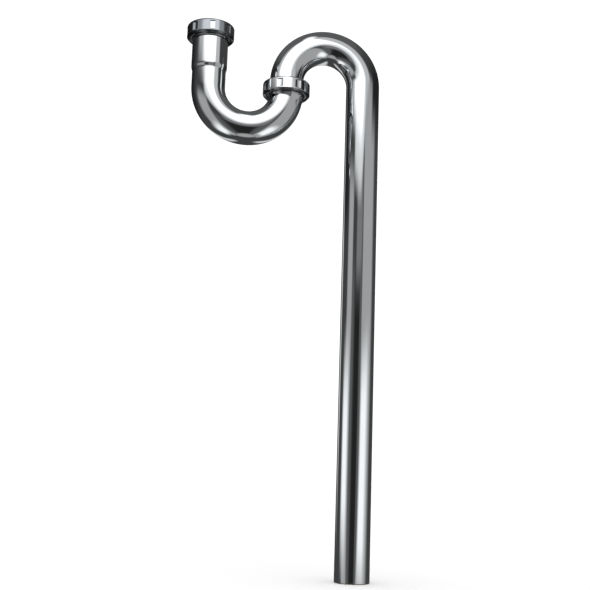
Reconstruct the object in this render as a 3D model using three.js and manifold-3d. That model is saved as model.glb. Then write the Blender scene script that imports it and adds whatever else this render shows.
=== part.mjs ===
// A tubular sink trap for 1-1/2 in (38.1 mm) waste pipe, with a long straight tail down to the floor.
//
// It comes apart into ten pieces: a J-bend that holds the water seal, an outlet tube that turns over
// and runs down, and a slip joint at each end of the J-bend. A slip joint is a threaded ferrule brazed
// to the J-bend, a rubber washer, a thin friction ring and a slip nut with eight flutes for a wrench.
//
// Millimetres, +Z up. The origin is the centre of the tail's open end, and the inlet is on the -X side.

import * as THREE from "three";
import { mergeVertices } from "three/addons/utils/BufferGeometryUtils.js";
import Module from "manifold-3d";

// Tube
const TUBE_R = 19.05; // 1-1/2 in outside diameter
const WALL = 0.81; // 20 gauge
const BEND_R = 44.45; // both bends: legs stand 3-1/2 in apart
const TAIL_LENGTH = 552; // straight tail below the return bend
const TRAP_DROP = 14.5; // return bend's centre stands this far above the J-bend's centre
const TALL_LEG = 64.6; // J-bend's centre to the top of its inlet leg
const INSERTION = 8.6; // how far the outlet tube reaches into the J-bend

// Sockets, where the J-bend's ends are expanded to take a tube of its own size
const SLIP_GAP = 0.35; // radial gap round the inserted tube
const SOCKET_R = TUBE_R + SLIP_GAP + WALL;
const NECK = 5.5; // length over which the tube widens
const SOCKET_DEPTH = 41.6; // inlet socket's depth, above its neck

// Thread, 11-1/2 turns an inch, right-handed
const PITCH = 25.4 / 11.5;
const MALE_ROOT_R = 22.9;
const MALE_CREST_R = 23.9;
const FEMALE_CREST_R = 23.15;
const FEMALE_ROOT_R = 24.2;
const THREAD_MID_R = 23.53; // radius at which both ridges are equally wide
const RIDGE_WIDTH = 0.83; // there
const FLANK = 1.155; // a ridge's growth in width per mm of depth, for flanks at 60 degrees
const BURIED = 0.4; // how far a ridge's foot is sunk into its wall
const RUNOUT = Math.PI / 3; // angle over which a ridge fades at its ends
const RUNOUT_SHARE = 0.2; // of its height that is left at the very end

// Slip nut
const NUT_HEIGHT = 16;
const NUT_R = 26.8;
const NUT_HOLE_R = 19.9;
const SHOULDER = 2.4; // thickness of the nut's closed end
const FLUTES = 8; // grooves down its side, which leave lugs between them for a wrench
const FLUTE_R = 8;
const FLUTE_DEPTH = 0.98;
const FLUTE_BOTTOM = 3.6;
const FLUTE_TOP = 12.6;
const INLET_FLUTES_AT = 0; // degrees from +X to a flute, as the nut stands when tight
const UNION_FLUTES_AT = 21.8;

// Heights in a slip joint above its nut's bottom
const FERRULE_BOTTOM = 1.2;
const FERRULE_TOP = 9.15;
const WASHER_BOTTOM = 9.35;
const WASHER_TOP = 12.4;
const RING_BOTTOM = 12.7;
const RING_TOP = 13.45;
const MALE_THREAD = [2.2, 2.5, 0]; // height of a helix's start, its turns, and its lead angle
const FEMALE_THREAD = [1.2, 3, Math.PI]; // half a turn off, so that its ridge lies in the male groove

// Radii of the small rings
const FERRULE_GAP = 0.15; // braze film round the socket
const WASHER_HOLE_R = 19.25;
const WASHER_R = 22.8;
const RING_HOLE_R = 19.6;
const RING_R = 22.9;

// Fineness
const SIDES = 32; // round a tube, a nut or a turn of thread
const ARC_STEP = 10; // degrees
const SOCKET_ARC_STEP = 3; // where the bend starts inside its socket
const FLUTE_SIDES = 28;

// Places that follow from the sizes
const RETURN_Z = TAIL_LENGTH;
const TRAP_Z = RETURN_Z - TRAP_DROP;
const UNION_X = -2 * BEND_R;
const INLET_X = -4 * BEND_R;
const SHORT_LEG = 5; // J-bend's centre to the top of its outlet leg
const SEAT_GAP = 0.05; // tube's end below its ferrule's top face
const UNION_NUT_Z = TRAP_Z + SHORT_LEG + SEAT_GAP - FERRULE_TOP;
const INLET_NUT_Z = TRAP_Z + TALL_LEG + SEAT_GAP - FERRULE_TOP;

const wasm = await Module();
wasm.setup();

// ---- materials ----

const chrome = new THREE.MeshStandardMaterial({ color: 0xd6d9dc, roughness: 0.07, metalness: 1 });
const castChrome = new THREE.MeshStandardMaterial({ color: 0xcfd2d5, roughness: 0.12, metalness: 1 });
const rubber = new THREE.MeshStandardMaterial({ color: 0x1d1d1e, roughness: 0.85, metalness: 0 });
const nylon = new THREE.MeshStandardMaterial({ color: 0xe6e2d6, roughness: 0.55, metalness: 0 });

// ---- solids ----

const rad = THREE.MathUtils.degToRad;

function toManifold(geometry) {
  const bare = geometry.clone();
  bare.deleteAttribute("normal");
  bare.deleteAttribute("uv");
  const merged = mergeVertices(bare, 1e-4);
  return new wasm.Manifold(
    new wasm.Mesh({
      numProp: 3,
      vertProperties: merged.attributes.position.array,
      triVerts: new Uint32Array(merged.index.array),
    }),
  );
}

function toGeometry(solid) {
  const mesh = solid.getMesh();
  const geometry = new THREE.BufferGeometry();
  geometry.setAttribute("position", new THREE.BufferAttribute(mesh.vertProperties, 3));
  geometry.setIndex(new THREE.BufferAttribute(mesh.triVerts, 1));
  geometry.computeVertexNormals();
  return geometry;
}

// A ring about +Z from a closed outline of [radius, height] points, taken anticlockwise.
function turned(outline) {
  const points = [...outline, outline[0]].map(([r, z]) => new THREE.Vector2(r, z));
  return new THREE.LatheGeometry(points, SIDES).rotateX(Math.PI / 2);
}

// A quarter-round corner of an outline, from angle a0 to a1 in degrees.
function corner(r, z, radius, a0, a1, steps = 3) {
  return Array.from({ length: steps + 1 }, (_, i) => {
    const a = rad(a0 + ((a1 - a0) * i) / steps);
    return [r + radius * Math.cos(a), z + radius * Math.sin(a)];
  });
}

// ---- tubes ----

// A path through given stations, so that each ring of an extrusion falls on one of them.
class StationPath extends THREE.Curve {
  constructor(stations) {
    super();
    this.stations = stations;
  }
  station(t) {
    return this.stations[Math.round(t * (this.stations.length - 1))];
  }
  getPoint(t) {
    return this.station(t).centre.clone();
  }
  getTangent(t) {
    return this.station(t).tangent.clone();
  }
  getUtoTmapping(u) {
    return u;
  }
}

function straight(x, z, up) {
  return { centre: new THREE.Vector3(x, 0, z), tangent: new THREE.Vector3(0, 0, up) };
}

// Stations round a half circle in the XZ plane, at given angles in degrees from its right or left end.
// side is +1 to start on the right and -1 on the left; turn is +1 to go over the top, -1 underneath.
function halfCircle(x, z, side, turn, angles) {
  return angles.map((degrees) => {
    const a = rad(degrees);
    return {
      centre: new THREE.Vector3(x + side * BEND_R * Math.cos(a), 0, z + turn * BEND_R * Math.sin(a)),
      tangent: new THREE.Vector3(-side * Math.sin(a), 0, turn * Math.cos(a)),
    };
  });
}

function circle(radius) {
  const points = Array.from({ length: SIDES }, (_, i) => {
    const a = (2 * Math.PI * i) / SIDES;
    return new THREE.Vector2(radius * Math.cos(a), radius * Math.sin(a));
  });
  return points;
}

function tube(stations) {
  const section = new THREE.Shape(circle(TUBE_R));
  section.holes.push(new THREE.Path(circle(TUBE_R - WALL)));
  return new THREE.ExtrudeGeometry(section, {
    steps: stations.length - 1,
    extrudePath: new StationPath(stations),
    bevelEnabled: false,
  });
}

// Widens the end of a tube's upright leg at x = axis into a socket, as a round mandrel does:
// plain up to zPlain, full size from zFull.
function expand(geometry, axis, zPlain, zFull) {
  const position = geometry.attributes.position;
  for (let i = 0; i < position.count; i++) {
    const x = position.getX(i) - axis;
    const y = position.getY(i);
    const z = position.getZ(i);
    if (Math.abs(x) > BEND_R || z < zPlain) continue;
    const r = Math.hypot(x, y);
    const full = r > TUBE_R - WALL / 2 ? SOCKET_R : SOCKET_R - WALL;
    const share = Math.min(1, (z - zPlain) / (zFull - zPlain));
    const scale = (r + (full - r) * share) / r;
    position.setXY(i, axis + x * scale, y * scale);
  }
  return geometry;
}

function range(from, to, step) {
  return Array.from({ length: Math.round((to - from) / step) + 1 }, (_, i) => from + i * step);
}

function jBend() {
  const top = TRAP_Z + TALL_LEG;
  const neckTop = top - SOCKET_DEPTH;
  const tubeEnd = TRAP_Z + SHORT_LEG - INSERTION;
  const angles = [...range(0, ARC_STEP - SOCKET_ARC_STEP, SOCKET_ARC_STEP), ...range(ARC_STEP, 180, ARC_STEP)];
  const stations = [
    straight(UNION_X, TRAP_Z + SHORT_LEG, -1),
    ...halfCircle(UNION_X - BEND_R, TRAP_Z, 1, -1, angles),
    straight(INLET_X, neckTop - NECK, 1),
    straight(INLET_X, neckTop, 1),
    straight(INLET_X, top, 1),
  ];
  const widened = expand(tube(stations), INLET_X, neckTop - NECK, neckTop);
  return expand(widened, UNION_X, tubeEnd - NECK, tubeEnd - SLIP_GAP);
}

function outletTube() {
  return tube([
    straight(UNION_X, TRAP_Z + SHORT_LEG - INSERTION, 1),
    ...halfCircle(-BEND_R, RETURN_Z, -1, 1, range(0, 180, ARC_STEP)),
    straight(0, 0, -1),
  ]);
}

// ---- slip joint ----

// A helical ridge: a straight bar of the ridge's section, wrapped round +Z. foot and crest are radii.
function ridge(foot, crest, [start, turns, lead]) {
  const half = (r) => RIDGE_WIDTH / 2 + (FLANK / 2) * (crest > foot ? THREAD_MID_R - r : r - THREAD_MID_R);
  const section = new THREE.Shape();
  section.moveTo(-half(foot), foot);
  section.lineTo(half(foot), foot);
  section.lineTo(half(crest), crest);
  section.lineTo(-half(crest), crest);
  const sweep = 2 * Math.PI * turns;
  const steps = Math.round(turns * SIDES);
  const bar = new THREE.ExtrudeGeometry(section, { depth: sweep, steps, bevelEnabled: false });
  const position = bar.attributes.position;
  for (let i = 0; i < position.count; i++) {
    const [along, radius, angle] = [position.getX(i), position.getY(i), position.getZ(i)];
    const fade = Math.min(1, RUNOUT_SHARE + Math.min(angle, sweep - angle) / RUNOUT);
    const r = foot + (radius - foot) * fade;
    const turn = angle + (2 * Math.PI * start) / PITCH + lead;
    const z = start + along + (PITCH * angle) / (2 * Math.PI);
    position.setXYZ(i, r * Math.cos(turn), r * Math.sin(turn), z);
  }
  return toManifold(bar);
}

function ferrule() {
  const hole = SOCKET_R + FERRULE_GAP;
  const lead = 0.5; // chamfer at the open end
  const core = turned([
    [hole, FERRULE_BOTTOM],
    [MALE_ROOT_R, FERRULE_BOTTOM],
    [MALE_ROOT_R, FERRULE_TOP - lead],
    [MALE_ROOT_R - lead, FERRULE_TOP],
    [hole, FERRULE_TOP],
  ]);
  const thread = ridge(MALE_ROOT_R - BURIED, MALE_CREST_R, MALE_THREAD);
  return toGeometry(toManifold(core).add(thread));
}

function washer() {
  const bevel = 1.1; // the underside's outer edge, which wedges the washer into its seat
  return turned([
    [WASHER_HOLE_R, WASHER_BOTTOM],
    [WASHER_R - bevel, WASHER_BOTTOM],
    [WASHER_R, WASHER_BOTTOM + bevel],
    [WASHER_R, WASHER_TOP],
    [WASHER_HOLE_R, WASHER_TOP],
  ]);
}

function frictionRing() {
  return turned([
    [RING_HOLE_R, RING_BOTTOM],
    [RING_R, RING_BOTTOM],
    [RING_R, RING_TOP],
    [RING_HOLE_R, RING_TOP],
  ]);
}

function flute(angle) {
  const height = FLUTE_TOP - FLUTE_BOTTOM;
  const cutter = new THREE.CylinderGeometry(FLUTE_R, FLUTE_R, height, FLUTE_SIDES).rotateX(Math.PI / 2);
  cutter.translate(NUT_R - FLUTE_DEPTH + FLUTE_R, 0, FLUTE_BOTTOM + height / 2);
  return toManifold(cutter.rotateZ(angle));
}

function slipNut(flutesAt) {
  const round = 2.6; // the shoulder's rounded edge
  const foot = 2; // the chamfer round the open end
  const lead = 0.6; // smaller chamfers at the mouth and the hole
  const body = turned([
    [FEMALE_ROOT_R + lead, 0],
    [NUT_R - foot, 0],
    [NUT_R, foot],
    ...corner(NUT_R - round, NUT_HEIGHT - round, round, 0, 90),
    [NUT_HOLE_R + lead, NUT_HEIGHT],
    [NUT_HOLE_R, NUT_HEIGHT - lead],
    [NUT_HOLE_R, NUT_HEIGHT - SHOULDER],
    [FEMALE_ROOT_R, NUT_HEIGHT - SHOULDER],
    [FEMALE_ROOT_R, lead],
  ]);
  const angles = Array.from({ length: FLUTES }, (_, i) => rad(flutesAt) + (2 * Math.PI * i) / FLUTES);
  const fluted = angles.reduce((rest, a) => rest.subtract(flute(a)), toManifold(body));
  const thread = ridge(FEMALE_ROOT_R + BURIED, FEMALE_CREST_R, FEMALE_THREAD);
  return toGeometry(fluted.add(thread));
}

// ---- assembly ----

function piece(name, geometry, material) {
  const mesh = new THREE.Mesh(geometry, material);
  mesh.name = name;
  return mesh;
}

// One slip joint, in a group that stands where its nut's bottom is.
function slipJoint(prefix, x, z, flutesAt) {
  const joint = new THREE.Group();
  joint.position.set(x, 0, z);
  joint.add(
    piece(prefix + "_thread_ferrule", ferrule(), chrome),
    piece(prefix + "_rubber_washer", washer(), rubber),
    piece(prefix + "_friction_ring", frictionRing(), nylon),
    piece(prefix + "_slip_nut", slipNut(flutesAt), castChrome),
  );
  return joint;
}

const trap = new THREE.Group();
trap.add(
  piece("j_bend", jBend(), chrome),
  piece("outlet_tube", outletTube(), chrome),
  slipJoint("inlet", INLET_X, INLET_NUT_Z, INLET_FLUTES_AT),
  slipJoint("union", UNION_X, UNION_NUT_Z, UNION_FLUTES_AT),
);

export default trap;
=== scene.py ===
"""A chromed sink trap for 1-1/2 in waste pipe: an inlet slip nut, a J-bend, a union slip nut and an
outlet tube that turns over and runs down in a long straight tail. Metres, +Z up, the inlet towards -X.

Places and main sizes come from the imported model. Each visible piece is a finely divided closed shell,
made of rings of points joined one to the next, and all but the two braze fillets stand for a CAD node.
"""

import math

import bmesh
import bpy
import numpy as np
from mathutils import Matrix, Vector


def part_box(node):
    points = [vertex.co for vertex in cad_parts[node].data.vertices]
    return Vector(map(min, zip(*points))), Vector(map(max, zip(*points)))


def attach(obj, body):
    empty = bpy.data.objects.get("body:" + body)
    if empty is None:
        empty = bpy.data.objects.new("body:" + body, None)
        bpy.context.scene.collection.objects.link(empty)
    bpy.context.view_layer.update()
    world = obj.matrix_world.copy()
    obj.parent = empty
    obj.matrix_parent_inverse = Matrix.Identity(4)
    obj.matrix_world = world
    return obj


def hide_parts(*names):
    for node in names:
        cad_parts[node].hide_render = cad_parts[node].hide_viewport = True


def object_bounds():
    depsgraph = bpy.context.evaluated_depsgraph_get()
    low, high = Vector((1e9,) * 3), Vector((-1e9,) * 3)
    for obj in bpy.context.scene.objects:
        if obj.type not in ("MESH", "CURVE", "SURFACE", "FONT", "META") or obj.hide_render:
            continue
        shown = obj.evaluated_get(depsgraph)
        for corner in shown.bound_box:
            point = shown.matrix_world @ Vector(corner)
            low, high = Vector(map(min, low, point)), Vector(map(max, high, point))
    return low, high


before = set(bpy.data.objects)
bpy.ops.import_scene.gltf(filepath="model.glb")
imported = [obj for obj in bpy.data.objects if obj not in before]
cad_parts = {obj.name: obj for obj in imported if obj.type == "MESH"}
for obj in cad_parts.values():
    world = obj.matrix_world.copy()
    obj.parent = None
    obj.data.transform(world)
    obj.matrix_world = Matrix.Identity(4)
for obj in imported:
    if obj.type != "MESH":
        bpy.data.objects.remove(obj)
cad_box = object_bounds()

MM = 0.001
TAU = 2 * math.pi

# ---------------------------------------------------------------- sizes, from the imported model


def bottom_of(node):
    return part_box(node)[0].z


def top_of(node):
    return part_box(node)[1].z


tube_low, tube_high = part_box("outlet_tube")
bend_low, bend_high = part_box("j_bend")
TUBE_R = (tube_high.y - tube_low.y) / 2
SOCKET_R = (bend_high.y - bend_low.y) / 2
WALL = 0.81 * MM
TAIL_X = tube_high.x - TUBE_R
UNION_X = tube_low.x + TUBE_R
INLET_X = bend_low.x + SOCKET_R
NUT_R = 26.8 * MM
BEND_R = (TAIL_X - UNION_X) / 2
RETURN_Z = tube_high.z - BEND_R - TUBE_R
TRAP_Z = bend_low.z + BEND_R + TUBE_R
UNION_TOP = top_of("union_thread_ferrule")

INSERTION = 8.5 * MM  # the outlet tube's reach below the union ferrule's top
SOCKET_DEPTH = 41.6 * MM
NECK = 5.5 * MM  # length over which a tube widens into a socket

# ---------------------------------------------------------------- shells


def signed_volume(rings):
    """Six times the volume inside the rings, positive if their faces point out."""
    a = rings - rings.mean(axis=(0, 1))
    b = np.roll(a, -1, axis=1)
    c = np.roll(b, -1, axis=0)
    d = np.roll(a, -1, axis=0)
    first = np.einsum("ijk,ijk->", a, np.cross(b, c))
    return first + np.einsum("ijk,ijk->", a, np.cross(c, d))


def shell(name, rings, materials, bands=None):
    """A closed body from rings of points, an (M, N, 3) array: each ring is joined to the next, and the
    last to the first. bands numbers the material of each strip between two rings. The UV map is in
    metres: U round a ring and V along the outline."""
    if signed_volume(rings) < 0:
        rings = rings[:, ::-1]
    m, n, _ = rings.shape
    i, j = np.meshgrid(np.arange(m), np.arange(n), indexing="ij")
    next_i, next_j = (i + 1) % m, (j + 1) % n
    corners = [i * n + j, i * n + next_j, next_i * n + next_j, next_i * n + j]
    quads = np.stack(corners, axis=-1).reshape(-1, 4)
    mesh = bpy.data.meshes.new(name)
    mesh.vertices.add(m * n)
    mesh.vertices.foreach_set("co", rings.reshape(-1).astype(np.float32))
    mesh.loops.add(quads.size)
    mesh.loops.foreach_set("vertex_index", quads.reshape(-1).astype(np.int32))
    mesh.polygons.add(len(quads))
    mesh.polygons.foreach_set("loop_start", np.arange(0, quads.size, 4, dtype=np.int32))
    mesh.polygons.foreach_set("use_smooth", np.ones(len(quads), bool))
    for material in materials:
        mesh.materials.append(material)
    if bands is not None:
        mesh.polygons.foreach_set("material_index", np.repeat(np.asarray(bands, np.int32), n))
    around = np.linalg.norm(rings[0, 1] - rings[0, 0]) * np.arange(n + 1)
    steps = np.linalg.norm(np.roll(rings, -1, axis=0) - rings, axis=-1).mean(axis=1)
    along = np.concatenate([[0], np.cumsum(steps)])
    uv = np.stack(
        [np.stack([around[j + b], along[i + a]], axis=-1) for a, b in ((0, 0), (0, 1), (1, 1), (1, 0))],
        axis=-2,
    )
    layer = mesh.uv_layers.new(name="surface")
    layer.data.foreach_set("uv", uv.reshape(-1).astype(np.float32))
    mesh.update()
    mesh.validate()
    obj = bpy.data.objects.new(name, mesh)
    bpy.context.scene.collection.objects.link(obj)
    return obj


def smooth(t):
    """Rises from 0 to 1 with a level start and end."""
    t = np.clip(t, 0, 1)
    return t * t * (3 - 2 * t)


def own(piece, node, body):
    """The piece stands for a CAD node, which is hidden, and rides on a body."""
    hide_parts(node)
    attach(piece, body)


# ---------------------------------------------------------------- tubes

AROUND_TUBE = 160  # points round each ring
LIP = 0.3 * MM  # rounding of a cut end's two edges
FLATTENING = 0.006  # share by which a bend's section is wider one way and narrower the other


class Path:
    """The centreline of a tube in the XZ plane: stations with a point, a direction and a length run."""

    def __init__(self, x, z, heading):
        self.points = [(x, z, heading)]
        self.run = [0.0]

    def straight(self, length, step):
        x, z, heading = self.points[-1]
        count = max(1, round(length / step))
        for i in range(1, count + 1):
            s = length * i / count
            self.points.append((x + s * math.cos(heading), z + s * math.sin(heading), heading))
            self.run.append(self.run[-1] + length / count)
        return self

    def bend(self, radius, turn, step):
        """turn is the angle turned through, anticlockwise as seen from the front."""
        x, z, heading = self.points[-1]
        side = math.copysign(1, turn)
        cx = x - side * radius * math.sin(heading)
        cz = z + side * radius * math.cos(heading)
        count = max(1, round(abs(turn) * radius / step))
        for i in range(1, count + 1):
            h = heading + turn * i / count
            self.points.append((cx + side * radius * math.sin(h), cz - side * radius * math.cos(h), h))
            self.run.append(self.run[-1] + abs(turn) * radius / count)
        return self

    def arrays(self):
        points = np.array(self.points)
        centre = np.stack([points[:, 0], 0 * points[:, 0], points[:, 1]], axis=-1)
        inward = np.stack([-np.sin(points[:, 2]), 0 * points[:, 0], np.cos(points[:, 2])], axis=-1)
        return centre, inward, np.array(self.run)


def tube_rings(path, radius, oval, across):
    """The rings of one surface of a tube. across is its distance from the tube's outside."""
    centre, inward, run = path.arrays()
    angle = np.linspace(0, TAU, AROUND_TUBE, endpoint=False)
    r = radius(run)[:, None] - across
    flat = 1 - oval(run)[:, None] * np.cos(2 * angle)[None, :]
    side = (r * flat * np.sin(angle))[..., None] * np.array([0, 1.0, 0])
    return centre[:, None, :] + (r * flat * np.cos(angle))[..., None] * inward[:, None, :] + side


def rounded_end(outer, inner, reach):
    """Rings round the cut end of a tube, from its outer ring to its inner one."""
    steps = 5
    power = 0.45  # 1 would make a half round, and less squares it off
    middle, half = (outer + inner) / 2, (outer - inner) / 2
    rings = []
    for step in range(steps):
        angle = (step + 0.5) / steps * math.pi
        c, s = math.cos(angle), math.sin(angle)
        rings.append(middle + half * math.copysign(abs(c) ** power, c) + reach * s**power)
    return rings


def tube(name, path, radius, oval, materials):
    """A tube along a path. The first material is for its outside, the second for its inside and ends."""
    outer = tube_rings(path, radius, oval, 0)
    inner = tube_rings(path, radius, oval, WALL)
    ahead = outer[-1].mean(axis=0) - outer[-2].mean(axis=0)
    behind = outer[0].mean(axis=0) - outer[1].mean(axis=0)
    ahead *= LIP / np.linalg.norm(ahead)
    behind *= LIP / np.linalg.norm(behind)
    far = rounded_end(outer[-1] - ahead, inner[-1] - ahead, ahead)
    near = rounded_end(inner[0] - behind, outer[0] - behind, behind)
    outer[-1] -= ahead
    inner[-1] -= ahead
    outer[0] -= behind
    inner[0] -= behind
    rings = np.concatenate([outer, np.array(far), inner[::-1], np.array(near)])
    plated, ends, bare = len(outer) - 1, len(far) + 1, len(inner) - 1
    bands = [0] * plated + [1] * ends + [1] * bare + [1] * ends
    return shell(name, rings, materials, bands)


def bend_oval(start, end):
    """A bent tube's slight flattening, growing in a bend's first quarter and fading in its last."""

    def oval(run):
        share = (run - start) / (end - start)
        return FLATTENING * smooth(4 * share) * smooth(4 * (1 - share))

    return oval


# ---------------------------------------------------------------- turned and threaded rings

AROUND_RING = 320  # points round each ring
PITCH = 25.4 * MM / 11.5
RIDGE_WIDTH = 0.83 * MM  # at the radius below, where both threads' ridges are equally wide
THREAD_MID_R = 23.53 * MM
FLANK = 1.155  # a ridge's growth in width with depth
RUNOUT = TAU / 6  # angle over which a thread rises to about its full depth, at either end
RUNOUT_SHARE = 0.2  # the share of its depth that it starts with

even_angles = np.linspace(0, TAU, AROUND_RING, endpoint=False)


class Outline:
    """A closed outline of [radius, height] points, drawn anticlockwise."""

    def __init__(self):
        self.r = []
        self.z = []

    def to(self, r, z):
        self.r.append(r)
        self.z.append(z)

    def line(self, r, z, step):
        r0, z0 = self.r[-1], self.z[-1]
        count = max(1, round(math.hypot(r - r0, z - z0) / step))
        for i in range(1, count + 1):
            self.to(r0 + (r - r0) * i / count, z0 + (z - z0) * i / count)

    def round(self, r, z, radius, start, end, count):
        """An arc about a centre, from one angle to another in degrees."""
        for i in range(count + 1):
            a = math.radians(start + (end - start) * i / count)
            self.to(r + radius * math.cos(a), z + radius * math.sin(a))

    def arrays(self):
        return np.array(self.r), np.array(self.z)


def thread(z, angle, start, turns, lead, depth, foot, crest):
    """How far a helical ridge stands off its foot, for a height z above the joint's bottom.

    start is the height at which the ridge begins, and lead its angle round the axis at the height 0.
    """
    turn = angle / TAU - lead / TAU
    phase = z / PITCH - turn
    nearest = np.round(phase)
    off = np.abs(phase - nearest) * PITCH
    centre = z - (phase - nearest) * PITCH
    done = (centre - start) / PITCH * TAU
    left = turns * TAU - done
    fade = np.clip(RUNOUT_SHARE + np.minimum(done, left) / RUNOUT, 0, 1) * (done > 0) * (left > 0)
    outwards = 1 if crest > foot else -1

    def half_width(r):
        return RIDGE_WIDTH / 2 + FLANK / 2 * (THREAD_MID_R - r) * outwards

    wide, narrow = half_width(foot), half_width(crest)
    return depth * fade * smooth((wide - off) / (wide - narrow))


def turned(name, outline, x, z, material, swell=None, angles=even_angles):
    """A closed ring about a vertical axis at x, from the height z up.

    swell(r, h, angle), if any, gives the radius of each point of the outline at each angle.
    """
    r, h = outline.arrays()
    radius = np.repeat(r[:, None], len(angles), axis=1)
    if swell is not None:
        radius = swell(radius, h[:, None], angles[None, :])
    height = np.repeat(z + h[:, None], len(angles), axis=1)
    rings = np.stack([x + radius * np.cos(angles), radius * np.sin(angles), height], axis=-1)
    return shell(name, rings, [material])


# ---------------------------------------------------------------- node graphs


class Graph:
    """Shorthand for building a node tree."""

    def __init__(self, tree):
        self.tree = tree
        tree.nodes.clear()

    def node(self, kind, **settings):
        made = self.tree.nodes.new(kind)
        for key, value in settings.items():
            setattr(made, key, value)
        return made

    def put(self, socket, value):
        if isinstance(value, bpy.types.NodeSocket):
            self.tree.links.new(value, socket)
        elif value is not None:
            socket.default_value = value

    def math(self, operation, a, b=None):
        made = self.node("ShaderNodeMath", operation=operation)
        for socket, value in zip(made.inputs, (a, b)):
            self.put(socket, value)
        return made.outputs[0]

    def scaled(self, vector, scale):
        made = self.node("ShaderNodeMapping")
        self.put(made.inputs["Vector"], vector)
        made.inputs["Scale"].default_value = scale
        return made.outputs[0]

    def noise(self, vector, scale, detail=3.0, roughness=0.5):
        made = self.node("ShaderNodeTexNoise")
        self.put(made.inputs["Vector"], vector)
        made.inputs["Scale"].default_value = scale
        made.inputs["Detail"].default_value = detail
        made.inputs["Roughness"].default_value = roughness
        return made.outputs["Fac"]

    def span(self, value, low, high, to_low, to_high, smoothly=False):
        kind = "SMOOTHSTEP" if smoothly else "LINEAR"
        made = self.node("ShaderNodeMapRange", interpolation_type=kind)
        for socket, v in zip(made.inputs, (value, low, high, to_low, to_high)):
            self.put(socket, v)
        return made.outputs[0]

    def blend(self, share, a, b):
        made = self.node("ShaderNodeMix", data_type="FLOAT")
        self.put(made.inputs[0], share)
        self.put(made.inputs[2], a)
        self.put(made.inputs[3], b)
        return made.outputs[0]

    def mix(self, share, a, b):
        made = self.node("ShaderNodeMix", data_type="RGBA")
        self.put(made.inputs[0], share)
        self.put(made.inputs[6], a)
        self.put(made.inputs[7], b)
        return made.outputs[2]

    def bump(self, height, distance, below=None):
        made = self.node("ShaderNodeBump")
        made.inputs["Distance"].default_value = distance
        self.put(made.inputs["Height"], height)
        self.put(made.inputs["Normal"], below)
        return made.outputs[0]


def surface(name):
    """A new material with its graph, its shader and its two sorts of coordinates."""
    material = bpy.data.materials.new(name)
    material.use_nodes = True
    graph = Graph(material.node_tree)
    shader = graph.node("ShaderNodeBsdfPrincipled")
    output = graph.node("ShaderNodeOutputMaterial")
    graph.tree.links.new(shader.outputs[0], output.inputs["Surface"])
    place = graph.node("ShaderNodeTexCoord").outputs["Object"]
    unrolled = graph.node("ShaderNodeUVMap", uv_map="surface").outputs[0]
    return material, graph, shader, place, unrolled


def colour(*rgb):
    return (*rgb, 1.0)


def grey(level):
    return colour(level, level, level)


PLATE_ROUGHNESS = (0.035, 0.085)
UPPER_LUG_GREY = (0.36, 0.385, 0.41)
LUG_ROUGHNESS = (0.1, 0.2)
# painted shade: the colour that plate facing down is darkened to
PAINTED_UNDERSIDE_SHADE = (0.05, 0.053, 0.058)


def chrome(name, light, dull, polish, peel, lugs_and_painted_shade=None):
    """Chrome plate. polish is the depth of its polishing lines and peel that of its slow waviness.

    The optional last argument, called with (graph, place), gives how much a casting's lugs are greyed
    and roughened, and how much painted shade darkens its underside.
    """
    material, g, shader, place, unrolled = surface(name)
    shader.inputs["Metallic"].default_value = 1.0
    cloud = g.noise(place, 34.0, 4.0, 0.6)
    haze = g.noise(place, 310.0, 3.0, 0.55)
    tone = g.span(cloud, 0.3, 0.7, 0.0, 1.0)
    plate = g.mix(tone, colour(*light), colour(*dull))
    rub = g.noise(g.scaled(unrolled, (40.0, 5200.0, 1.0)), 1.0, 2.0, 0.6)
    wear = g.math("MULTIPLY", g.span(cloud, 0.35, 0.75, 0.3, 1.0), g.span(haze, 0.35, 0.8, 0.5, 1.0))
    roughness = g.span(wear, 0.15, 1.0, *PLATE_ROUGHNESS)
    if lugs_and_painted_shade is not None:
        lugs, foot = lugs_and_painted_shade(g, place)
        plate = g.mix(lugs, plate, colour(*UPPER_LUG_GREY))
        # painted shade: plate that faces down is darkened towards near black
        plate = g.mix(foot, plate, colour(*PAINTED_UNDERSIDE_SHADE))
        roughness = g.blend(lugs, roughness, g.span(haze, 0.35, 0.7, *LUG_ROUGHNESS))
    g.put(shader.inputs["Base Color"], plate)
    g.put(shader.inputs["Roughness"], roughness)
    wave = g.bump(g.noise(place, 26.0, 1.0, 0.4), peel)
    g.put(shader.inputs["Normal"], g.bump(rub, polish, wave))
    return material


def painted_underside_shade(g, place):
    """Painted shade and no greyed lugs: plate is darkened only where it faces down."""
    facing = g.node("ShaderNodeSeparateXYZ")
    g.put(facing.inputs[0], g.node("ShaderNodeNewGeometry").outputs["Normal"])
    # painted shade: the mask rises where the surface's normal points down
    return 0.0, g.span(facing.outputs[2], -0.3, -0.6, 0.0, 0.9, True)


def upper_lugs_and_painted_shade(g, place):
    """Greyer, rougher plate over the upper nut's lugs, and painted shade wherever either nut faces down.
    """
    split = g.node("ShaderNodeSeparateXYZ")
    g.put(split.inputs[0], place)
    x, y, z = split.outputs
    off = g.math("SUBTRACT", x, INLET_X)
    radius = g.math("SQRT", g.math("ADD", g.math("MULTIPLY", off, off), g.math("MULTIPLY", y, y)))
    proud = g.span(radius, NUT_R - 0.4 * MM, NUT_R - 0.15 * MM, 0.15, 1.0, True)
    between = top_of("union_slip_nut") + 5 * MM, bottom_of("inlet_slip_nut") - 5 * MM
    upper = g.span(z, *between, 0.0, 1.0)
    _, foot = painted_underside_shade(g, place)
    return g.math("MULTIPLY", upper, proud), foot


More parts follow.
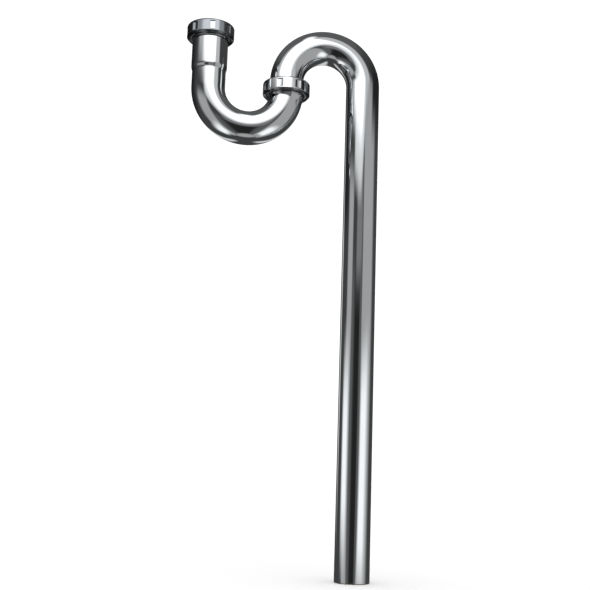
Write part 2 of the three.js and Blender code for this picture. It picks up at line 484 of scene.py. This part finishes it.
def brass(name, bright, tarnish, roughness):
    material, g, shader, place, unrolled = surface(name)
    shader.inputs["Metallic"].default_value = 1.0
    stain = g.noise(place, 60.0, 5.0, 0.62)
    tone = g.span(stain, 0.35, 0.68, 0.0, 1.0)
    g.put(shader.inputs["Base Color"], g.mix(tone, colour(*bright), colour(*tarnish)))
    g.put(shader.inputs["Roughness"], g.span(stain, 0.3, 0.75, roughness, roughness + 0.22))
    lines = g.noise(g.scaled(unrolled, (30.0, 3800.0, 1.0)), 1.0, 2.0, 0.5)
    g.put(shader.inputs["Normal"], g.bump(lines, 0.006 * MM))
    return material


def rubber(name):
    material, g, shader, place, _ = surface(name)
    bloom = g.noise(place, 90.0, 5.0, 0.6)
    grain = g.noise(place, 2600.0, 2.0, 0.5)
    tone = g.span(bloom, 0.45, 0.75, 0.0, 1.0)
    black, greyed = colour(0.012, 0.012, 0.013), colour(0.04, 0.04, 0.042)
    g.put(shader.inputs["Base Color"], g.mix(tone, black, greyed))
    g.put(shader.inputs["Roughness"], g.span(bloom, 0.3, 0.7, 0.55, 0.8))
    g.put(shader.inputs["Normal"], g.bump(grain, 0.02 * MM))
    return material


def nylon(name):
    material, g, shader, place, _ = surface(name)
    tint = g.noise(place, 120.0)
    pale, yellowed = colour(0.76, 0.73, 0.64), colour(0.66, 0.62, 0.52)
    g.put(shader.inputs["Base Color"], g.mix(tint, pale, yellowed))
    g.put(shader.inputs["Roughness"], g.span(tint, 0.3, 0.7, 0.38, 0.55))
    shader.inputs["Subsurface Weight"].default_value = 0.25
    shader.inputs["Subsurface Radius"].default_value = (1.2 * MM, 1.0 * MM, 0.7 * MM)
    g.put(shader.inputs["Normal"], g.bump(g.noise(place, 900.0), 0.01 * MM))
    return material


tube_chrome = chrome("tube_chrome", (0.775, 0.80, 0.82), (0.74, 0.76, 0.775), 0.0002 * MM, 0.02 * MM)
nut_chrome = chrome(
    "nut_chrome", (0.74, 0.765, 0.785), (0.69, 0.705, 0.72), 0.0004 * MM, 0.05 * MM, upper_lugs_and_painted_shade
)
tube_brass = brass("tube_brass", (0.70, 0.50, 0.22), (0.42, 0.28, 0.13), 0.28)
# The ferrules and braze fillets get darker plate than the tubes: painted shade for the recess under each
# nut.
ferrule_chrome = chrome(
    "ferrule_chrome", (0.62, 0.64, 0.65), (0.50, 0.51, 0.51), 0.0006 * MM, 0.05 * MM, painted_underside_shade
)
washer_rubber = rubber("washer_rubber")
ring_nylon = nylon("ring_nylon")

# ---------------------------------------------------------------- the two tubes

STEP = 1.0 * MM
TAIL_STEP = 4.0 * MM
HALF_TURN = math.pi
BEND_RUN = HALF_TURN * BEND_R
DOWN, UP = -math.pi / 2, math.pi / 2
J_TOP = UNION_TOP - 0.05 * MM  # just under the union ferrule's top, where the J-bend's path begins
J_DROP = J_TOP - TRAP_Z
J_CLIMB = bend_high.z - TRAP_Z

j_path = Path(UNION_X, J_TOP, DOWN)
j_path.straight(J_DROP, STEP).bend(BEND_R, -HALF_TURN, STEP).straight(J_CLIMB, STEP)
J_RUN = j_path.run[-1]


def j_radius(run):
    """The J-bend is a tube's width, but for the short union socket and the long inlet socket."""
    short = 1 - smooth((run - INSERTION) / NECK)
    tall = smooth((run - (J_RUN - SOCKET_DEPTH - NECK)) / NECK)
    return TUBE_R + (SOCKET_R - TUBE_R) * (short + tall)


def outlet_radius(run):
    return TUBE_R + 0 * run


j_oval = bend_oval(J_DROP, J_DROP + BEND_RUN)
j_bend = tube("j_bend_tube", j_path, j_radius, j_oval, [tube_chrome, tube_brass])
own(j_bend, "j_bend", "trap")

OUTLET_FOOT = UNION_TOP - INSERTION
RISE = RETURN_Z - OUTLET_FOOT
outlet_path = Path(UNION_X, OUTLET_FOOT, UP)
outlet_path.straight(RISE, STEP).bend(BEND_R, -HALF_TURN, STEP).straight(RETURN_Z, TAIL_STEP)
outlet_oval = bend_oval(RISE, RISE + BEND_RUN)
outlet_name = "outlet_return_bend_and_tail"
outlet = tube(outlet_name, outlet_path, outlet_radius, outlet_oval, [tube_chrome, tube_brass])
own(outlet, "outlet_tube", "outlet")

# ---------------------------------------------------------------- slip joints

NUT_H = 16 * MM
NUT_HOLE_R = 19.9 * MM
NUT_BORE_R = 24.2 * MM
SHOULDER = 2.4 * MM
SHOULDER_ROUND = 2.6 * MM
FOOT = 2.0 * MM  # chamfer round the open end
FLUTES = 8
FLUTE_R = 8 * MM
FLUTE_DEPTH = 0.98 * MM
FLUTE_BOTTOM = 3.6 * MM
FLUTE_TOP = 12.6 * MM
FLUTE_SLOPE = 0.7 * MM  # height over which a flute's end runs out
EDGE = 0.35 * MM  # softness of the edge between a flute and a lug
EDGE_AT = math.radians(7.3)  # that edge's angle from the middle of its flute
EDGE_ZONE = 0.03  # the angle either side of it where points lie closer together
INLET_FLUTES_AT = 0.0  # how far each nut is turned
UNION_FLUTES_AT = math.radians(21.8)

MALE_ROOT_R = 22.9 * MM
MALE_CREST_R = 23.9 * MM
FEMALE_CREST_R = 23.15 * MM
THREADED_H = 9 * MM  # how far up its bore a nut may be threaded
MALE_THREAD = (2.2 * MM, 2.5, 0.0)  # each thread's start, turns and lead
FEMALE_THREAD = (1.2 * MM, 3.0, math.pi)
CLOSE = 0.01 * MM  # a point of an outline that is nearer than this to a wall lies on it


def nut_angles(turn):
    """Angles round a nut, closer together at the edges of its flutes."""
    pitch = TAU / FLUTES
    before, after = EDGE_AT - EDGE_ZONE, EDGE_AT + EDGE_ZONE
    half = np.concatenate([
        np.linspace(0, before, 9, endpoint=False),
        np.linspace(before, after, 9, endpoint=False),
        np.linspace(after, pitch / 2, 14, endpoint=False),
    ])
    one = np.concatenate([half, pitch - half[1:][::-1], [pitch / 2]])
    return turn + np.sort(np.concatenate([one + k * pitch for k in range(FLUTES)]))


def flute_depth(z, angle, turn):
    """How deep the nut's flutes are cut, at a height and an angle, with soft edges."""
    pitch = TAU / FLUTES
    off = (angle - turn + pitch / 2) % pitch - pitch / 2
    centre = NUT_R - FLUTE_DEPTH + FLUTE_R
    across = np.clip(centre * np.sin(off) / FLUTE_R, -1, 1)
    depth = NUT_R - centre * np.cos(off) + FLUTE_R * np.sqrt(1 - across**2)
    ends = smooth((z - FLUTE_BOTTOM) / FLUTE_SLOPE + 0.5) * smooth((FLUTE_TOP - z) / FLUTE_SLOPE + 0.5)
    share = np.clip(0.5 + depth / (2 * EDGE), 0, 1)
    return (depth * share + EDGE * share * (1 - share)) * ends


def slip_nut(name, x, z, turn):
    """Up the outside from the open end, over the shoulder and down through the hole and the bore."""
    edge, corner, mouth = 0.5 * MM, 0.2 * MM, 0.6 * MM
    outline = Outline()
    outline.to(NUT_BORE_R + mouth, 0)
    outline.line(NUT_R - FOOT - 0.25 * MM, 0, 0.1 * MM)
    outline.line(NUT_R - FOOT + 0.2 * MM, 0.2 * MM, 0.15 * MM)
    outline.line(NUT_R - 0.3 * MM, FOOT - 0.3 * MM, 0.35 * MM)
    outline.line(NUT_R - 0.08 * MM, FOOT + 0.02 * MM, 0.15 * MM)
    outline.line(NUT_R, FOOT + 0.4 * MM, 0.2 * MM)
    outline.line(NUT_R, NUT_H - SHOULDER_ROUND, 0.2 * MM)
    outline.round(NUT_R - SHOULDER_ROUND, NUT_H - SHOULDER_ROUND, SHOULDER_ROUND, 5, 90, 12)
    outline.line(NUT_HOLE_R + edge, NUT_H, 0.8 * MM)
    outline.round(NUT_HOLE_R + edge, NUT_H - edge, edge, 95, 180, 5)
    outline.line(NUT_HOLE_R, NUT_H - SHOULDER + corner, 0.6 * MM)
    outline.round(NUT_HOLE_R + corner, NUT_H - SHOULDER + corner, corner, 185, 270, 3)
    outline.line(NUT_BORE_R - 0.3 * MM, NUT_H - SHOULDER, 0.6 * MM)
    outline.line(NUT_BORE_R, NUT_H - SHOULDER - 0.3 * MM, 0.2 * MM)
    outline.line(NUT_BORE_R, THREADED_H, 0.6 * MM)
    outline.line(NUT_BORE_R, mouth, 0.13 * MM)
    outline.line(NUT_BORE_R + 0.5 * MM, 0.04 * MM, 0.2 * MM)

    def swell(r, h, angle):
        outer = r > NUT_R - 2 * CLOSE
        bore = (np.abs(r - NUT_BORE_R) < CLOSE) & (h < THREADED_H + 0.1 * MM)
        depth = NUT_BORE_R - FEMALE_CREST_R
        ridge = thread(h, angle, *FEMALE_THREAD, depth, NUT_BORE_R, FEMALE_CREST_R)
        return r - np.where(outer, flute_depth(h, angle, turn), 0) - np.where(bore, ridge, 0)

    return turned(name, outline, x, z, nut_chrome, swell, nut_angles(turn))


def ferrule(name, x, z, low, high):
    hole, lead = SOCKET_R + 0.12 * MM, 0.5 * MM
    outline = Outline()
    outline.to(hole, low)
    outline.line(MALE_ROOT_R - 0.25 * MM, low, 0.8 * MM)
    outline.line(MALE_ROOT_R, low + 0.25 * MM, 0.15 * MM)
    outline.line(MALE_ROOT_R, high - lead, 0.13 * MM)
    outline.line(MALE_ROOT_R - lead, high, 0.25 * MM)
    outline.line(hole + 0.15 * MM, high, 0.6 * MM)
    outline.line(hole, high - 0.15 * MM, 0.1 * MM)
    outline.line(hole, low + 0.1 * MM, 1.2 * MM)

    def swell(r, h, angle):
        wall = np.abs(r - MALE_ROOT_R) < CLOSE
        depth = MALE_CREST_R - MALE_ROOT_R
        return r + np.where(wall, thread(h, angle, *MALE_THREAD, depth, MALE_ROOT_R, MALE_CREST_R), 0)

    return turned(name, outline, x, z, ferrule_chrome, swell)


def washer(name, x, z, low, high):
    hole, outer, bevel, edge = 19.25 * MM, 22.8 * MM, 1.1 * MM, 0.3 * MM
    outline = Outline()
    outline.round(hole + edge, low + edge, edge, 180, 270, 4)
    outline.line(outer - bevel - edge, low, 0.5 * MM)
    outline.line(outer, low + bevel + edge, 0.3 * MM)
    outline.line(outer, high - edge, 0.4 * MM)
    outline.round(outer - edge, high - edge, edge, 5, 90, 4)
    outline.line(hole + edge, high, 0.5 * MM)
    outline.round(hole + edge, high - edge, edge, 95, 180, 4)
    outline.line(hole, low + edge + 0.2 * MM, 0.5 * MM)
    return turned(name, outline, x, z, washer_rubber)


def friction_ring(name, x, z, low, high):
    hole, outer, edge = 19.6 * MM, 22.9 * MM, 0.2 * MM
    outline = Outline()
    outline.round(hole + edge, low + edge, edge, 180, 270, 3)
    outline.line(outer - edge, low, 0.6 * MM)
    outline.round(outer - edge, low + edge, edge, -85, 0, 3)
    outline.line(outer, high - edge, 0.2 * MM)
    outline.round(outer - edge, high - edge, edge, 5, 90, 3)
    outline.line(hole + edge, high, 0.6 * MM)
    outline.round(hole + edge, high - edge, edge, 95, 180, 3)
    return turned(name, outline, x, z, ring_nylon)


def braze(name, x, z, low):
    """The fillet under a ferrule, where it is brazed to the socket and plated over with it."""
    inner, reach = SOCKET_R - 0.15 * MM, 2.0 * MM
    outline = Outline()
    outline.to(inner, low - reach)
    outline.round(inner + reach + 0.15 * MM, low - reach, reach, 178, 92, 12)
    outline.line(inner + reach + 0.2 * MM, low + 0.02 * MM, 0.1 * MM)
    outline.line(inner, low + 0.02 * MM, 0.4 * MM)

    def swell(r, h, angle):
        uneven = 0.07 * MM * np.sin(3 * angle + 0.7) + 0.04 * MM * np.sin(7 * angle + 2.1)
        return r + uneven * np.clip((r - inner) / reach, 0, 1)

    return turned(name, outline, x, z, ferrule_chrome, swell)


def slip_joint(prefix, x, turn, seal_body, ring_body, nut_body):
    """The five pieces of a slip joint, with their heights measured from the bottom of its nut."""
    base = bottom_of(prefix + "_slip_nut")

    def ends(node):
        return bottom_of(node) - base, top_of(node) - base

    node = prefix + "_slip_nut"
    own(slip_nut(prefix + "_nut", x, base, turn), node, nut_body)
    node = prefix + "_thread_ferrule"
    own(ferrule(prefix + "_ferrule", x, base, *ends(node)), node, "trap")
    solder_ring = braze(prefix + "_braze_fillet", x, base, ends(node)[0])
    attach(solder_ring, "trap")
    node = prefix + "_rubber_washer"
    own(washer(prefix + "_washer", x, base, *ends(node)), node, seal_body)
    node = prefix + "_friction_ring"
    own(friction_ring(prefix + "_ring", x, base, *ends(node)), node, ring_body)


slip_joint("inlet", INLET_X, INLET_FLUTES_AT, "inlet_seal", "inlet_seal", "inlet_nut")
slip_joint("union", UNION_X, UNION_FLUTES_AT, "union_seal", "union_ring", "union_nut")

# ---------------------------------------------------------------- camera, floor and light

CAMERA_AIM = Vector((-0.071, 0, 0.306))
CAMERA_DISTANCE = 1.108
CAMERA_AZIMUTH = math.radians(-8.6)
CAMERA_ELEVATION = math.radians(-9.7)
CAMERA_ROLL = math.radians(1.9)
LENS, SENSOR = 61.23, 36.0  # in millimetres
FLOOR_DROP = 0.5 * MM  # how far the floor lies below the tail's cut end
WORLD_STRENGTH = 1.16


def add_camera():
    data = bpy.data.cameras.new("camera")
    data.sensor_width = SENSOR
    data.lens = LENS
    data.clip_start, data.clip_end = 0.05, 60.0
    camera = bpy.data.objects.new("camera", data)
    bpy.context.scene.collection.objects.link(camera)
    a, e = CAMERA_AZIMUTH, CAMERA_ELEVATION
    back = Vector((math.sin(a) * math.cos(e), -math.cos(a) * math.cos(e), math.sin(e)))
    right = (-back).cross(Vector((0, 0, 1))).normalized()
    up = back.cross(right)
    c, s = math.cos(CAMERA_ROLL), math.sin(CAMERA_ROLL)
    right, up = c * right + s * up, c * up - s * right
    turn = Matrix((right, up, back)).transposed().to_4x4()
    camera.matrix_world = Matrix.Translation(CAMERA_AIM + CAMERA_DISTANCE * back) @ turn
    bpy.context.scene.camera = camera


def add_floor():
    half = 6.0
    corners = [(-half, -half, 0), (half, -half, 0), (half, half, 0), (-half, half, 0)]
    mesh = bpy.data.meshes.new("floor")
    mesh.from_pydata([Vector(c) for c in corners], [], [(0, 1, 2, 3)])
    material, g, shader, place, _ = surface("floor_white")
    tone = g.noise(place, 3.0, 2.0)
    g.put(shader.inputs["Base Color"], g.mix(tone, grey(0.93), grey(0.95)))
    shader.inputs["Roughness"].default_value = 0.9
    mesh.materials.append(material)
    floor = bpy.data.objects.new("floor", mesh)
    floor.location.z = -FLOOR_DROP
    bpy.context.scene.collection.objects.link(floor)
    floor.visible_glossy = False


# The reflections come from a light tent, an ellipsoid round the trap that only polished surfaces see.
# Its middle is the trap's, drawn towards the camera.
(low_x, _, low_z), (high_x, _, high_z) = cad_box
TENT_FORWARD = 0.10
TENT_CENTRE = Vector(((low_x + high_x) / 2, -TENT_FORWARD, (low_z + high_z) / 2))
TENT_RADII = Vector((0.30, 0.50, 0.50))

# How bright the tent's soft boxes, cards and flags are, and the wall between them
KEY, KEY_RIM, KEY_BORDER = 1.6, 0.85, 0.6
STRIP, REAR_STRIP = 1.2, 0.75
CARD, DIM_CARD = 0.42, 0.22
FLAG, BLACK = 0.12, 0.02
TENT_WALL = 0.06

# They are painted one over another. Each has its azimuths, from the front towards +X, and its
# elevations, in degrees, then the softness of its upright and of its level edges, and its brightness.
OPEN = 500  # past every angle, where a light has no edge
TENT_LIGHTS = {
    "rear left strip": ((-160, -145), (-25, 35), (5, 15), REAR_STRIP),
    "rear right strip": ((145, 160), (-25, 35), (5, 15), REAR_STRIP),
    "left flag": ((-80, -50), (-50, 15), (8, 5), FLAG),
    "left card": ((-100, -70), (-55, 30), (5, 5), CARD),
    "left strip": ((-110, -80), (-35, -5), (8, 10), STRIP),
    "right flag": ((15, 45), (-50, 15), (10, 5), FLAG),
    "right card": ((45, 100), (-55, 40), (5, 5), CARD),
    "right strip": ((55, 90), (-40, -5), (8, 8), STRIP),
    "camera side": ((-40, 20), (-50, 10), (10, 4), BLACK),
    "front card": ((-35, 35), (15, 60), (8, 4), DIM_CARD),
    "left rear flag": ((-150, -110), (20, 50), (8, 5), BLACK),
    "right rear flag": ((90, 150), (30, 45), (5, 5), BLACK),
    "rear top": ((-OPEN, OPEN), (55, OPEN), (1, 5), FLAG),
    "key's border": ((-100, 80), (40, OPEN), (5, 5), KEY_BORDER),
    "key's rim": ((-70, 45), (32, OPEN), (8, 5), KEY_RIM),
    "key": ((-85, 45), (43, OPEN), (6, 6), KEY),
    "top": ((-OPEN, OPEN), (85, OPEN), (1, 4), KEY),
}
TILTED = {"key", "key's rim"}  # their lower edge rises to the right of TILT_FROM
TILT_FROM = 10
TILT = 0.25  # degrees up for each degree round
FLOOR_BOUNCE = (CARD, -55, 10)  # brightness, and its far edge's elevation and softness
BOUNCE_EDGE = 0.1  # softness of its near edge, which runs under the trap


def tent_light():
    material = bpy.data.materials.new("tent_light")
    material.use_nodes = True
    g = Graph(material.node_tree)
    split = g.node("ShaderNodeSeparateXYZ")
    g.put(split.inputs[0], g.node("ShaderNodeTexCoord").outputs["Object"])
    x, y, z = split.outputs
    front = g.math("MULTIPLY", y, -1.0)
    azimuth = g.math("DEGREES", g.math("ARCTAN2", x, front))
    elevation = g.math("DEGREES", g.math("ARCSINE", z))
    past = g.math("MAXIMUM", g.math("SUBTRACT", azimuth, TILT_FROM), 0.0)
    tilted = g.math("SUBTRACT", elevation, g.math("MULTIPLY", past, TILT))

    def band(value, ends, soft):
        rise = g.span(value, ends[0] - soft, ends[0] + soft, 0.0, 1.0, True)
        fall = g.span(value, ends[1] - soft, ends[1] + soft, 1.0, 0.0, True)
        return g.math("MULTIPLY", rise, fall)

    bounce, far, far_soft = FLOOR_BOUNCE
    below = g.span(elevation, far - far_soft, far + far_soft, 1.0, 0.0, True)
    before = g.span(front, -BOUNCE_EDGE, BOUNCE_EDGE, 0.0, 1.0, True)
    light = g.blend(g.math("MULTIPLY", below, before), TENT_WALL, bounce)
    for name, (across, up, (across_soft, up_soft), bright) in TENT_LIGHTS.items():
        height = tilted if name in TILTED else elevation
        inside = g.math("MULTIPLY", band(azimuth, across, across_soft), band(height, up, up_soft))
        light = g.blend(inside, light, bright)
    glow = g.node("ShaderNodeEmission")
    g.put(glow.inputs["Strength"], light)
    output = g.node("ShaderNodeOutputMaterial")
    g.tree.links.new(glow.outputs[0], output.inputs["Surface"])
    material.cycles.emission_sampling = "NONE"
    return material


def add_tent():
    """The tent is a ball of radius 1, so that its material can work out angles, and then stretched."""
    mesh = bpy.data.meshes.new("light_tent")
    ball = bmesh.new()
    bmesh.ops.create_icosphere(ball, subdivisions=6, radius=1.0)
    ball.to_mesh(mesh)
    ball.free()
    mesh.materials.append(tent_light())
    tent = bpy.data.objects.new("light_tent", mesh)
    tent.location = TENT_CENTRE
    tent.scale = TENT_RADII
    tent.visible_camera = False
    tent.visible_diffuse = False
    tent.visible_transmission = False
    tent.visible_volume_scatter = False
    tent.visible_shadow = False
    bpy.context.scene.collection.objects.link(tent)


def add_light():
    """Even white light on everything that isn't polished, and behind the trap."""
    world = bpy.data.worlds.new("studio")
    world.use_nodes = True
    bpy.context.scene.world = world
    g = Graph(world.node_tree)
    even = g.node("ShaderNodeBackground")
    even.inputs["Color"].default_value = grey(1)
    even.inputs["Strength"].default_value = WORLD_STRENGTH
    output = g.node("ShaderNodeOutputWorld")
    g.tree.links.new(even.outputs[0], output.inputs["Surface"])


add_camera()
add_floor()
add_tent()
add_light()
bpy.context.scene.view_settings.view_transform = "Standard"
